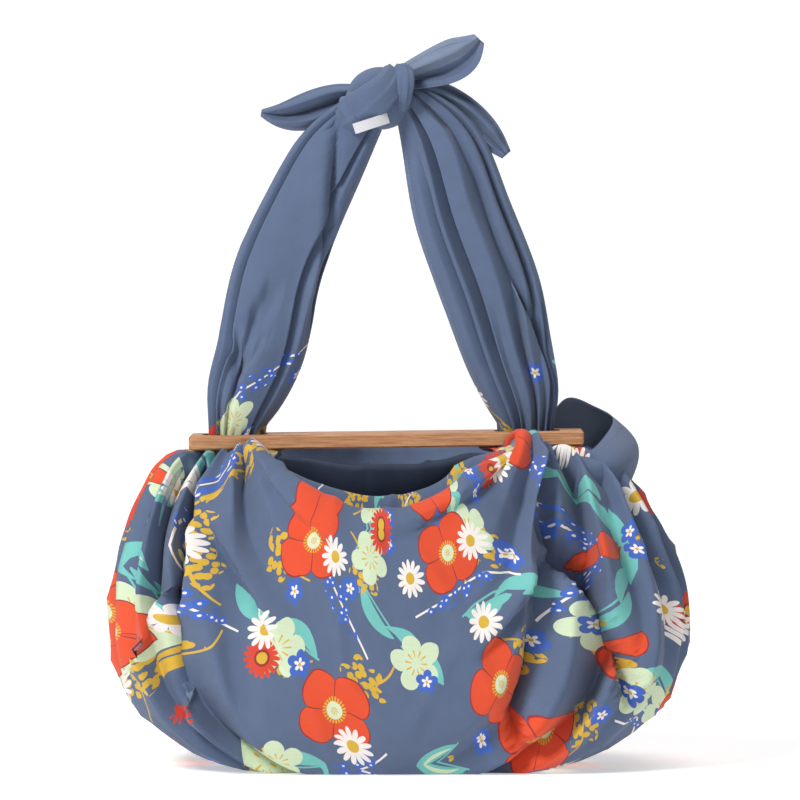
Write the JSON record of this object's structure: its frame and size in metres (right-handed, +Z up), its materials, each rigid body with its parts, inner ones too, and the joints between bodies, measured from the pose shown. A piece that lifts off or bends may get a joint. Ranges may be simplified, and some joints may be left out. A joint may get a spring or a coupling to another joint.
{
  "type": "furoshiki wrap with wooden handle bar",
  "caption": "Square cotton cloth gathered through the holes of a wooden bar into a standing bag, its ends knotted above as a handle.",
  "frame": {"origin": "on the floor under the middle of the bag's flat base", "axes": "+Z up towards the knot, -Y the front, +X the right as seen from the front, along the bar"},
  "size_m": [0.4423, 0.2265, 0.5569],
  "materials": {
    "cotton": "plain-weave cotton, dusty blue ground with a bright print",
    "wood": "light brown, fine grained, sanded",
    "tape": "blank white woven tape"
  },
  "bodies": {
    "root": {"cloth": "cotton", "bar": "wood", "label": "tape"}
  },
  "joints": []
}
